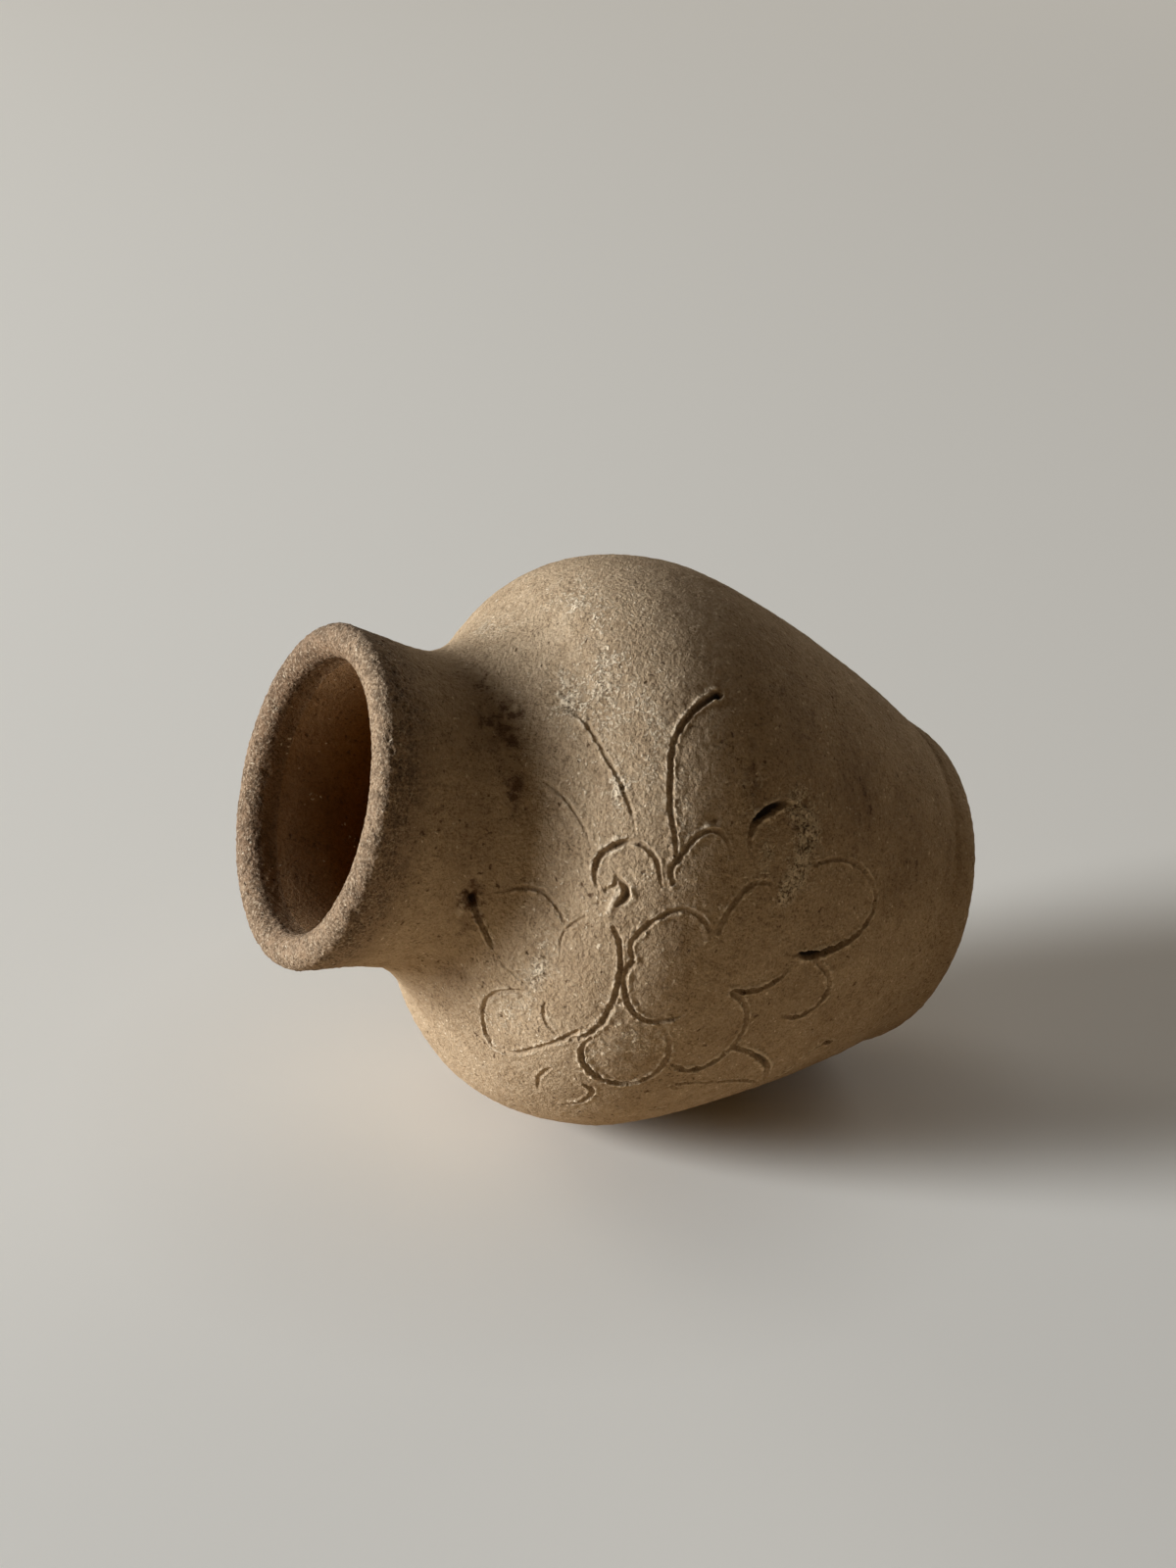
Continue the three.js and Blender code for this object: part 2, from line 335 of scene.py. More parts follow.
def drawStrokes(points, outside):
    cut = np.zeros(len(points))
    burr = np.zeros(len(points))
    settle = np.zeros(len(points))
    used = np.flatnonzero(outside > 0.5)
    reach = 2 * groove["settleReach"]
    near = used[nearest(points[used], allSamples, reach)[0] < reach]
    ragged = twoNoises(points[near], groove["raggedSizes"], groove["smallShare"], 1)
    crumbs = twoNoises(points[near], groove["crumbSizes"], groove["smallShare"], 3)
    usual, varied, least, most = groove["burrCrumbs"]
    burrHeight = np.clip(usual + varied * crumbs, least, most)
    for samples, presses in drawnStrokes:
        distance, which = nearest(points[near], samples, reach)
        press = presses[which]
        half = groove["leastWidth"] + (groove["halfWidth"] - groove["leastWidth"]) * press
        frayed = distance * (1 + groove["ragged"] * ragged) + groove["fray"] * crumbs
        depth = groove["depth"] * press ** groove["pressPower"]
        depth = depth * np.clip(1 - (frayed / half) ** 2, 0, 1) ** groove["roundness"]
        cut[near] = np.maximum(cut[near], depth)
        away = frayed - half - groove["burrStart"] * groove["burrWidth"]
        away /= np.where(away < 0, groove["burrWidth"], groove["burrTail"])
        height = groove["burr"] * np.minimum(press, groove["burrMostPress"]) * np.exp(-away ** 2) * burrHeight
        burr[near] = np.maximum(burr[near], height)
        sink = groove["settle"] * np.minimum(press, 1) * np.exp(-(distance / groove["settleReach"]) ** 2)
        settle[near] = np.maximum(settle[near], sink)
    burr *= np.clip(1 - cut / groove["burrGone"], 0, 1)
    return burr - cut, settle


# Each spot below starts with its angle round the pot, its height, and how far it reaches round and up.
# Dents (below zero) and lumps (above): a turn, then how high they stand
marks = [
    (-84.1, 56.6, 0.55, 0.45, 0, -0.55), (-106.1, 49.9, 1.5, 0.40, -52, -0.50),
    (-133.3, 36.4, 0.42, 1.5, 0, -0.55), (-163.3, 21.8, 0.45, 0.7, 0, -0.40),
    (-143.5, 82.0, 1.3, 0.8, 35, -0.55), (-147.5, 82.8, 2.2, 0.7, 10, 0.25),
    (-129.6, 68.4, 1.6, 0.45, -8, 0.35), (-126.3, 66.6, 1.1, 0.5, 15, 0.22),
    (-130.4, 69.7, 0.35, 0.25, 0, -0.35), (-109.3, 58.0, 0.35, 0.35, 0, -0.6),
    (-104.9, 76.5, 0.3, 0.3, 0, -0.3), (57.0, 97.6, 0.6, 0.7, 0, -0.5),
    (-154.0, 98.3, 0.9, 0.6, 30, -0.45), (133.0, 99.0, 0.8, 0.5, 20, -0.35),
    (-40.0, 6.3, 12.0, 0.7, 0, -0.30),
]
# Open pits behind the lip
pitsBehindLip = [
    (-98.5, 98.3), (-93.1, 94.4), (-84.7, 93.7), (-102.1, 98.0), (-94.6, 98.9), (-88.9, 95.4),
    (-105.3, 96.6), (-105.7, 89.6), (-79.3, 92.6),
]
marks += [(*place, 0.28, 0.24, 0, -0.42) for place in pitsBehindLip]
# Where the clay is crumbly: how much stronger its grain is
roughPatches = [
    (-78.1, 73.4, 4.5, 1.8, 3.4), (-81.5, 70.4, 4.0, 2.4, 2.6), (-70.7, 69.4, 5.5, 2.2, 2.4),
    (-49.4, 68.8, 8.0, 2.5, 2.0), (-24.9, 75.5, 4.0, 1.6, 2.0), (-92.0, 66.5, 8.0, 3.0, 1.7),
    (-104.4, 69.6, 2.6, 1.3, 3.4), (-152.9, 72.4, 3.4, 1.8, 3.2), (-166.0, 71.7, 5.0, 2.2, 2.4),
    (-158.0, 60.5, 5.0, 4.0, 2.0), (-108.5, 42.0, 3.8, 1.8, 4.6), (-105.0, 45.0, 2.6, 1.6, 3.8),
    (-116.1, 43.1, 3.8, 2.2, 3.6), (-120.8, 45.6, 2.8, 1.7, 3.4), (-114.5, 49.4, 3.4, 1.2, 2.8),
    (-103.0, 52.7, 2.6, 1.4, 2.8), (-108.8, 62.0, 7.0, 2.6, 1.8),
]
# Brown stains: how dark
stains = [
    (-86.0, 80.0, 2.6, 1.5, 1.0), (-83.0, 81.6, 3.4, 2.0, 0.8), (-77.6, 79.4, 3.2, 1.6, 0.75),
    (-91.5, 79.0, 2.2, 1.2, 0.6), (-80.0, 83.4, 3.6, 1.6, 0.5), (-104.0, 79.6, 2.4, 1.5, 0.85),
    (-97.0, 81.0, 3.0, 1.6, 0.3), (-143.6, 82.1, 2.4, 1.5, 1.0), (-151.5, 81.0, 3.0, 1.4, 0.6),
    (-176.5, 78.4, 4.5, 2.2, 0.45), (-60.0, 82.0, 7.0, 2.4, 0.35), (-120.0, 84.5, 14.0, 3.0, 0.2),
    (-97.5, 31.7, 7.0, 4.5, 0.42), (-84.0, 43.0, 8.0, 5.0, 0.30), (-112.0, 20.0, 9.0, 5.0, 0.30),
    (-96.0, 52.6, 4.0, 0.5, 0.55), (-102.5, 52.4, 1.8, 1.2, 0.60),
]
# Where the lip is darker and pinker: how much
rosyPatches = [
    (15.0, 98.5, 22.0, 9.0, 1.0), (85.0, 98.5, 14.0, 9.0, 0.85), (135.0, 98.5, 10.0, 9.0, 0.4),
    (-34.0, 98.0, 6.0, 5.0, 0.6), (-150.0, 98.0, 5.0, 2.5, 0.7),
]


def spread(points, angle, height, reachRound, reachUp, turn=0):
    turned = np.degrees(np.arctan2(points[:, 1], points[:, 0])) - angle
    across = np.radians((turned + 180) % 360 - 180) * radiusOn(outerLine, height)
    up = arcAt(points[:, 2]) - arcAt(height)
    turn = math.radians(turn)
    along = across * math.cos(turn) + up * math.sin(turn)
    aside = up * math.cos(turn) - across * math.sin(turn)
    return np.exp(-(along / reachRound) ** 2 - (aside / reachUp) ** 2)


def strongest(points, patches):
    best = np.zeros(len(points))
    for *where, strength in patches:
        best = np.maximum(best, strength * spread(points, *where))
    return best


clayRelief = {
    "wander": 0.12, "wanderSize": 28.0,  # the slow unevenness of a wall built by hand
    "lumps": 0.07, "lumpSize": 7.0,
    "grain": 0.085, "grainSize": 1.15,
    "fineGrain": 0.030, "fineGrainSize": 0.7,
    "keepInside": 0.08,  # the whole skin sits this far under the part's own surface
    "boxGap": 0.02,  # and no grain comes closer than this to the part's box
    "throwingRing": 0.10, "ringSpacing": 4.4,  # finger marks inside
    "ringWobble": 2, "ringWobbleSize": 14.0,
    "insideGrain": 0.4, "insideDents": 0.3,  # what the inner side has of the outer side's
    "grainInCut": 0.6,
}
stainEdges = {"usual": 0.95, "coarse": 1.1, "coarseSize": 1.5, "fine": 0.8, "fineSize": 0.7, "most": 1.3}
insidePaintedShade = {"atMouth": 0.60, "deepFrom": 94.0, "deepAt": 83.0}  # painted shade: darker with the depth
lipGrit = {
    "from": 89.0, "full": 96.5,  # heights between which the clay gets open and gritty
    "pitSpacing": 0.80, "pitChance": 0.16, "pitDepth": 0.34, "pitReach": 0.40,
    "clusterSize": 5.0, "clusterGain": 0.55, "clusterLimits": (0.03, 0.7),  # the pits come in clusters
    "crumbSpacing": 0.62, "crumbChance": 0.50, "crumbHeight": 0.075, "crumbReach": 0.45,
    "sand": 0.065, "sandSize": 0.50,
}


def pitsAndCrumbs(points, grit):
    clusters = lipGrit["pitChance"] + lipGrit["clusterGain"] * clayNoise(points, lipGrit["clusterSize"], 10)
    pitChance = np.clip(clusters, *lipGrit["clusterLimits"]) * grit
    pits = bumpField(points, lipGrit["pitSpacing"], pitChance, lipGrit["pitReach"], 1)
    crumbChance = lipGrit["crumbChance"] * grit
    crumbs = bumpField(points, lipGrit["crumbSpacing"], crumbChance, lipGrit["crumbReach"], 2)
    return lipGrit["crumbHeight"] * crumbs - lipGrit["pitDepth"] * pits


def shapeSkin(points, outside):
    heights = points[:, 2]
    grit = smoothStep(heights, lipGrit["from"], lipGrit["full"])
    grainGain = np.ones(len(points))
    for *where, gain in roughPatches:
        grainGain += (gain - 1) * spread(points, *where)
    slow = clayRelief["wander"] * clayNoise(points, clayRelief["wanderSize"], 5)
    slow += clayRelief["lumps"] * clayNoise(points, clayRelief["lumpSize"], 6)
    grain = clayRelief["grain"] * clayNoise(points, clayRelief["grainSize"], 7)
    grain += clayRelief["fineGrain"] * clayNoise(points, clayRelief["fineGrainSize"], 8)
    grain *= grainGain
    grain += lipGrit["sand"] * grit * clayNoise(points, lipGrit["sandSize"], 13)
    drawn, settle = drawStrokes(points, outside)
    dents = np.zeros(len(points))
    for *where, rise in marks:
        dents += rise * spread(points, *where)
    gritty = np.flatnonzero(grit > 0.02)
    if len(gritty):
        dents[gritty] += pitsAndCrumbs(points[gritty], grit[gritty])
    wobble = clayRelief["ringWobble"] * clayNoise(points, clayRelief["ringWobbleSize"], 9)
    rings = clayRelief["throwingRing"] * np.sin(math.tau * heights / clayRelief["ringSpacing"] + wobble)
    crease = footShape["creaseDepth"] * np.exp(-((heights - footTop) / footShape["creaseWidth"]) ** 2)
    carved = np.maximum(drawn + dents, -groove["deepest"])
    outerRelief = slow + grain + carved - settle - crease - clayRelief["keepInside"]
    innerRelief = rings + slow + clayRelief["insideGrain"] * grain + clayRelief["insideDents"] * dents
    relief = outside * outerRelief + (1 - outside) * innerRelief
    edges = stainEdges["usual"] + stainEdges["coarse"] * clayNoise(points, stainEdges["coarseSize"], 11)
    edges += stainEdges["fine"] * clayNoise(points, stainEdges["fineSize"], 12)
    stained = strongest(points, stains) * np.clip(edges, 0, stainEdges["most"])
    # Painted shade inside the pot, deeper down the neck
    depth = smoothStep(-heights, -insidePaintedShade["deepFrom"], -insidePaintedShade["deepAt"])
    # cut holds the relief: shade is painted where it is low, and pale dust with painted highlight where the
    # burrs stand up
    tints = {
        "cut": outside * carved + clayRelief["grainInCut"] * grain,
        "stain": stained * outside,
        "roughness": grainGain - 1,
        "grit": grit * np.minimum(1, 2 * outside),
        "inside": (1 - outside) * (insidePaintedShade["atMouth"] + (1 - insidePaintedShade["atMouth"]) * depth),
        "rosy": strongest(points, rosyPatches),
    }
    return relief, tints


# A wall's outline is a list of rows: radius, height, and 1 on the outer side or 0 on the inner side

endGap = 0.02  # between a section's end and the next row


def evenSteps(points, cell):
    arcs = arcLengths(points[:, :2])
    steps = np.linspace(0, arcs[-1], max(2, round(arcs[-1] / cell)) + 1)
    return np.stack([np.interp(steps, arcs, values) for values in points.T], 1)


def wallRows(line, fromHeight, toHeight, cell, outside):
    kept = line[(line[:, 1] > fromHeight + endGap) & (line[:, 1] < toHeight - endGap)]
    ends = radiusOn(line, [fromHeight, toHeight])
    points = np.array([(ends[0], fromHeight), *kept, (ends[1], toHeight)])
    return [(radius, height, outside) for radius, height in evenSteps(points, cell)]


def evenRows(rows, cell):
    return [tuple(row) for row in evenSteps(np.array(rows, float), cell)]


def curveRows(start, startHandle, endHandle, end, outside, count=24):
    points = interpolate_bezier(Vector(start), Vector(startHandle), Vector(endHandle), Vector(end), count)
    return [(point[0], point[1], share) for point, share in zip(points, np.linspace(*outside, count))]


skinCells = {
    "outer": 0.5, "inner": 2.4, "roundSteps": 528,
    "footSide": 0.36, "footFlat": 1.6,
    "lip": 0.21, "lipWall": 0.3, "lipSteps": 704,
}


def turnSkin(walls, closed, steps):
    skin = bmesh.new()
    facing = skin.verts.layers.float_vector.new("facing")
    corner = skin.verts.layers.float.new("corner")
    loop = []
    for rows in walls:
        points = np.array(rows, float)
        way = np.gradient(points[:, :2], axis=0, edge_order=2)
        way /= np.linalg.norm(way, axis=1)[:, None]
        for place, (radius, height, outside) in enumerate(points):
            made = skin.verts.new((radius, 0.0, height))
            made[facing] = (way[place][1], -way[place][0], outside)
            made[corner] = 1.0 if place in (0, len(points) - 1) else 0.0
            loop.append(made)
    edges = [skin.edges.new(pair) for pair in zip(loop, loop[1:])]
    if closed:
        edges.append(skin.edges.new((loop[-1], loop[0])))
    bmesh.ops.spin(
        skin, geom=loop + edges, cent=(0, 0, 0), axis=(0, 0, 1), angle=math.tau,
        steps=steps, use_merge=True,
    )
    bmesh.ops.remove_doubles(skin, verts=skin.verts, dist=0.002)
    bmesh.ops.recalc_face_normals(skin, faces=skin.faces)
    return skin


def refineSkin(skin, reach):
    # Makes the outer side finer near the drawn lines
    facing = skin.verts.layers.float_vector["facing"]
    skin.verts.index_update()
    points = np.array([vert.co for vert in skin.verts])
    outer = np.array([vert[facing][2] for vert in skin.verts]) > 0.9
    close = np.zeros(len(points), bool)
    used = np.flatnonzero(outer)
    close[used] = nearest(points[used], allSamples[::3], reach)[0] < reach
    chosen = []
    for edge in skin.edges:
        first, second = (vert.index for vert in edge.verts)
        if (close[first] or close[second]) and outer[first] and outer[second]:
            chosen.append(edge)
    if chosen:
        bmesh.ops.subdivide_edges(skin, edges=chosen, cuts=1, use_grid_fill=True)


def finishSkin(name, skin, piece):
    facing = skin.verts.layers.float_vector["facing"]
    corner = skin.verts.layers.float["corner"]
    points = np.array([vert.co for vert in skin.verts])
    ways = np.array([vert[facing] for vert in skin.verts])
    relief, tints = shapeSkin(points, ways[:, 2])
    around = np.hypot(points[:, 0], points[:, 1]) + tiny
    outward = np.stack([points[:, 0] / around * ways[:, 0], points[:, 1] / around * ways[:, 0], ways[:, 1]], 1)
    outward /= np.linalg.norm(outward, axis=1)[:, None] + tiny
    limit = np.array([bellyRadius, bellyRadius, potHeight]) - clayRelief["boxGap"]
    moved = points + outward * relief[:, None]
    moved = np.clip(moved, (-limit[0], -limit[1], 0.0), limit) / mmPerMetre
    for vert, place in zip(skin.verts, moved):
        vert.co = place
    for face in skin.faces:
        face.smooth = True
    for edge in skin.edges:
        edge.smooth = not all(vert[corner] > 0.99 for vert in edge.verts)
    skin.verts.layers.float_vector.remove(facing)
    skin.verts.layers.float.remove(skin.verts.layers.float["corner"])
    mesh = bpy.data.meshes.new(name)
    skin.to_mesh(mesh)
    skin.free()
    for label, values in tints.items():
        mesh.attributes.new(label, "FLOAT", "POINT").data.foreach_set("value", values.astype(np.float32))
    made = bpy.data.objects.new(name, mesh)
    bpy.context.scene.collection.objects.link(made)
    mesh.materials.append(piece["material"])
    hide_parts(piece["node"])
    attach(made, "root")
    print(name, "ready:", sum(len(face.vertices) - 2 for face in mesh.polygons), "triangles")


# Clay: its colours, and how much of each thing shows in the four finishes

clayColours = {
    "dark": (0.355, 0.263, 0.170), "light": (0.535, 0.423, 0.296),
    # dust is real dust on the clay, and also the colour of painted highlights on flecks, crumbs and burrs
    "dustAndHighlight": (0.92, 0.81, 0.64), "stain": (0.090, 0.042, 0.016),
    # pit and hollow are painted shade in grooves, dents, crumb gaps and pinholes; pit also colours the dark
    # specks
    "pit": (0.065, 0.040, 0.022), "hollow": (0.014, 0.008, 0.004),
    "lip": (0.250, 0.184, 0.130), "lipDark": (0.62, 0.60, 0.58), "lipLight": (1.42, 1.40, 1.35),
    # inside is the tint of the painted shade in the mouth and neck
    "rosy": (0.66, 0.61, 0.61), "inside": (0.52, 0.28, 0.055),
    "grainDark": (0.70, 0.68, 0.66), "grainLight": (1.22, 1.22, 1.22),
}
clayFinishes = {
    "footClay": {"dots": 0.35, "flecks": 0.5, "crackle": 0.2},
    "wallClay": {"dots": 0.35, "flecks": 1.0, "crackle": 1.0},
    "neckClay": {"dots": 0.6, "flecks": 0.3, "crackle": 0.3},
    "lipClay": {"dots": 0.5, "flecks": 0.5, "crackle": 0.0},
}
claySurface = {"roughness": 0.92, "gloss": 0.2}
# How high each thing stands in the bump, in millimetres
clayBumps = {"pebbles": 0.45, "grain": 0.14, "pale": 0.13, "pinholes": -0.20, "dots": -0.15, "sand": 0.04}
clayNoises = {
    # scale, detail, roughness
    "blotch": (0.07, 4.0, 0.6), "mottle": (0.5, 5.0, 0.7), "grain": (2.4, 4.0, 0.7),
    "patchy": (0.28, 3.0, 0.6), "pebbles": (1.5, 3.0, 0.6), "sand": (6.0, 2.0, 0.5),
}
claySpots = {
    # scale, distances at which a spot is full and gone, which of its cell's random values says if it is there
    "dots": (0.55, 0.09, 0.17, 0), "flecks": (1.2, 0.16, 0.32, 1), "pinholes": (1.25, 0.13, 0.24, 2),
}
clayBlends = {
    "shade": {"blotch": 0.4, "mottle": 0.6},
    "crumbs": {"mottle": 0.35, "pebbles": 0.4, "grain": 0.25},
    "clumps": {"mottle": 0.6, "grain": 0.4},
}
bendNoise = (0.9, 2.0, 0.6)
clayBend = 1.6  # how far that noise pushes the spots and cracks out of shape
crackScale = 0.8
clayFades = {
    # from a value to a value, and what comes out at each, where that isn't 0 and 1
    "shade": (0.37, 0.59), "lipShade": (0.38, 0.62), "grainShade": (0.3, 0.7),
    "fleckPatch": (0.46, 0.64, 0.0, 0.6),
    "crackLine": (0.05, 0.18, 1.0, 0.0), "crackPatch": (0.44, 0.56), "crackBreak": (0.47, 0.53),
    "broken": (1.1, 2.4), "crumb": (0.49, 0.53), "gap": (0.465, 0.425),
    "openClay": (0.6, 1.0), "sandGrain": (0.54, 0.62),
    "hazeRough": (0.8, 3.0, 0.0, 0.36), "hazeMottle": (0.40, 0.54),
    "speckRough": (0.7, 2.0, 0.0, 0.9), "speckPatch": (0.52, 0.38, 0.0, 0.6), "speck": (0.46, 0.38),
    "pinholePatch": (0.40, 0.60, 0.15, 0.85),
    "cutShade": (-0.28, -0.90), "cutFloorShade": (-0.58, -0.92), "burrDustAndHighlight": (0.08, 0.22),
    "stainClumps": (0.40, 0.60, -0.8, 0.2), "stain": (0.0, 0.42, 0.0, 0.85),
    "calmInside": (0.2, 0.8, 1.0, 0.35),
}
clayAmounts = {
    "lip": 0.85, "dots": 0.75, "flecks": 0.75, "fleckRough": 0.22, "crackRough": 1.1, "crackBase": 0.12,
    "sand": 0.30, "openSpecks": 0.6, "pinholes": 0.85, "cutShade": 0.80, "cutFloorShade": 0.95,
    "burrDustAndHighlight": 0.52, "stainHaze": 0.45, "stainCore": 0.8,
}


def addNode(tree, kind, inputs, **settings):
    made = tree.nodes.new(kind)
    for name, value in settings.items():
        setattr(made, name, value)
    for name, value in inputs.items():
        if isinstance(value, bpy.types.NodeSocket):
            tree.links.new(value, made.inputs[name])
        else:
            made.inputs[name].default_value = value
    return made


def clayMaterial(name, finish):
    material = bpy.data.materials.new(name)
    material.use_nodes = True
    tree = material.node_tree
    tree.nodes.clear()

    def calc(operation, first, second):
        return addNode(tree, "ShaderNodeMath", {0: first, 1: second}, operation=operation).outputs[0]

    def times(first, second):
        return calc("MULTIPLY", first, second)

    def larger(first, second):
        return calc("MAXIMUM", first, second)

    def blended(values, shares):
        terms = [times(values[label], share) for label, share in shares.items()]
        total = terms[0]
        for term in terms[1:]:
            total = calc("ADD", total, term)
        return total

    def fade(value, label):
        low, high, toLow, toHigh = (*clayFades[label], 0.0, 1.0)[:4]
        inputs = {"Value": value, "From Min": low, "From Max": high, "To Min": toLow, "To Max": toHigh}
        return addNode(tree, "ShaderNodeMapRange", inputs).outputs[0]

    def mixed(share, first, second, blend="MIX"):
        first = (*first, 1.0) if isinstance(first, tuple) else first
        second = (*second, 1.0) if isinstance(second, tuple) else second
        inputs = {0: share, 6: first, 7: second}
        return addNode(tree, "ShaderNodeMix", inputs, data_type="RGBA", blend_type=blend).outputs[2]

    def tinted(share, base, tint):
        return mixed(share, base, mixed(1.0, base, tint, "MULTIPLY"))

    def vectorCalc(operation, inputs):
        return addNode(tree, "ShaderNodeVectorMath", inputs, operation=operation).outputs[0]

    def noise(scale, detail, rough):
        inputs = {"Vector": place, "Scale": scale, "Detail": detail, "Roughness": rough}
        return addNode(tree, "ShaderNodeTexNoise", inputs)

    def painted(label):
        return addNode(tree, "ShaderNodeAttribute", {}, attribute_name=label).outputs["Fac"]

    def spots(label, chance):
        scale, full, gone, channel = claySpots[label]
        cells = addNode(tree, "ShaderNodeTexVoronoi", {"Vector": bent, "Scale": scale})
        draw = addNode(tree, "ShaderNodeSeparateColor", {0: cells.outputs["Color"]}).outputs[channel]
        inputs = {"Value": cells.outputs["Distance"], "From Min": full, "From Max": gone,
                  "To Min": 1.0, "To Max": 0.0}
        spot = addNode(tree, "ShaderNodeMapRange", inputs).outputs[0]
        return times(spot, calc("LESS_THAN", draw, chance))

    coords = addNode(tree, "ShaderNodeTexCoord", {}).outputs["Object"]
    place = vectorCalc("SCALE", {0: coords, "Scale": mmPerMetre})
    noises = {label: noise(*settings).outputs["Fac"] for label, settings in clayNoises.items()}
    mottle, grain, patchy = (noises[label] for label in ("mottle", "grain", "patchy"))
    bend = vectorCalc("SUBTRACT", {0: noise(*bendNoise).outputs["Color"], 1: (0.5, 0.5, 0.5)})
    bent = vectorCalc("ADD", {0: place, 1: vectorCalc("SCALE", {0: bend, "Scale": clayBend})})
    roughness, grit, inside, cut, stain = (
        painted(label) for label in ("roughness", "grit", "inside", "cut", "stain"))

    # The body of the clay, the pinker lip, and painted shade that darkens the inside with depth
    shade = fade(blended(noises, clayBlends["shade"]), "shade")
    colour = mixed(shade, clayColours["dark"], clayColours["light"])
    lipShade = mixed(fade(mottle, "lipShade"), clayColours["lipDark"], clayColours["lipLight"])
    lipTone = mixed(1.0, clayColours["lip"], lipShade, "MULTIPLY")
    lipTone = tinted(painted("rosy"), lipTone, clayColours["rosy"])
    colour = mixed(times(grit, clayAmounts["lip"]), colour, lipTone)
    colour = tinted(inside, colour, clayColours["inside"])
    grainShade = mixed(fade(grain, "grainShade"), clayColours["grainDark"], clayColours["grainLight"])
    colour = mixed(1.0, colour, grainShade, "MULTIPLY")

    # Dark dots and sand, and pale flecks, hair cracks and crumbs that are partly dust and partly painted
    # highlight on raised grain
    dotShare = spots("dots", finish["dots"])
    colour = mixed(times(dotShare, clayAmounts["dots"]), colour, clayColours["stain"])
    fleckArea = calc("ADD", fade(patchy, "fleckPatch"), times(roughness, clayAmounts["fleckRough"]))
    fleckShare = spots("flecks", times(fleckArea, finish["flecks"]))
    cracks = addNode(tree, "ShaderNodeTexVoronoi", {"Vector": bent, "Scale": crackScale},
                     feature="DISTANCE_TO_EDGE")
    crackArea = calc("ADD", times(roughness, clayAmounts["crackRough"]), clayAmounts["crackBase"])
    crackArea = calc("MINIMUM", times(fade(patchy, "crackPatch"), crackArea), 1.0)
    crackShare = times(fade(cracks.outputs["Distance"], "crackLine"), fade(grain, "crackBreak"))
    crackShare = times(crackShare, times(crackArea, finish["crackle"]))
    crumbs = blended(noises, clayBlends["crumbs"])
    broken = fade(roughness, "broken")
    crumbShare = times(fade(crumbs, "crumb"), broken)
    gapShare = times(fade(crumbs, "gap"), broken)
    openClay = fade(grit, "openClay")
    sandShare = times(fade(grain, "sandGrain"), times(openClay, clayAmounts["sand"]))
    pale = larger(larger(times(fleckShare, clayAmounts["flecks"]), crackShare), crumbShare)
    haze = times(fade(roughness, "hazeRough"), fade(mottle, "hazeMottle"))
    colour = mixed(larger(haze, sandShare), colour, clayColours["dustAndHighlight"])
    colour = mixed(pale, colour, clayColours["dustAndHighlight"])

    # Dark specks, and painted shade in the gaps between crumbs and in the pinholes
    speckArea = larger(fade(roughness, "speckRough"), fade(patchy, "speckPatch"))
    speckArea = larger(speckArea, times(openClay, clayAmounts["openSpecks"]))
    speckShare = larger(gapShare, times(fade(grain, "speck"), speckArea))
    colour = mixed(speckShare, colour, clayColours["pit"])
    pinholeShare = times(spots("pinholes", fade(patchy, "pinholePatch")), grit)
    colour = mixed(times(pinholeShare, clayAmounts["pinholes"]), colour, clayColours["pit"])

    # Painted shade in the drawn lines and dents, darkest on their floors; pale dust on their burrs, partly a
    # painted highlight; and the stains
    # The deeper the cut, the more painted shade; the burrs get pale dust that is partly a painted highlight
    for label, tone in {"cutShade": "pit", "cutFloorShade": "hollow", "burrDustAndHighlight": "dustAndHighlight"}.items():
        colour = mixed(times(fade(cut, label), clayAmounts[label]), colour, clayColours[tone])
    clumps = blended(noises, clayBlends["clumps"])
    colour = mixed(times(stain, clayAmounts["stainHaze"]), colour, clayColours["stain"])
    stainShare = calc("ADD", times(stain, clayAmounts["stainCore"]), fade(clumps, "stainClumps"))
    colour = mixed(fade(stainShare, "stain"), colour, clayColours["stain"])

    height = blended({**noises, "pale": pale, "pinholes": pinholeShare, "dots": dotShare}, clayBumps)
    height = times(height, fade(inside, "calmInside"))
    bump = addNode(tree, "ShaderNodeBump", {"Height": height, "Distance": 1 / mmPerMetre, "Strength": 1.0})
    shader = addNode(tree, "ShaderNodeBsdfPrincipled", {
        "Base Color": colour, "Normal": bump.outputs[0],
        "Roughness": claySurface["roughness"], "Specular IOR Level": claySurface["gloss"],
    })
    addNode(tree, "ShaderNodeOutputMaterial", {0: shader.outputs[0]})
    return material


materials = {name: clayMaterial(name, finish) for name, finish in clayFinishes.items()}
print("materials ready:", ", ".join(materials))

footTop, bellyRing, neckJoint, lipJoint = (
    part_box(node)[1].z * mmPerMetre for node in ("foot_disc", "lower_belly", "upper_belly", "neck_collar"))

lipShape = {
    "shoulderDrop": 2.0, "innerDrop": 2.4,  # where the lip starts to turn over, below its top
    "crown": 22.0,  # radius of its highest ring
    "squareness": 0.58,
}


def footWalls():
    underside = evenRows([(0.0, 0.0, 1.0), (footShape["flat"], 0.0, 1.0)], skinCells["footFlat"])
    floorEdge = radiusOn(innerLine, footTop)
    return [
        underside[:-1] + wallRows(outerLine, 0.0, footTop, skinCells["footSide"], 1.0),
        evenRows([(floorEdge, footTop, 0.0), (0.0, footTop, 0.0)], skinCells["footFlat"]),
    ]


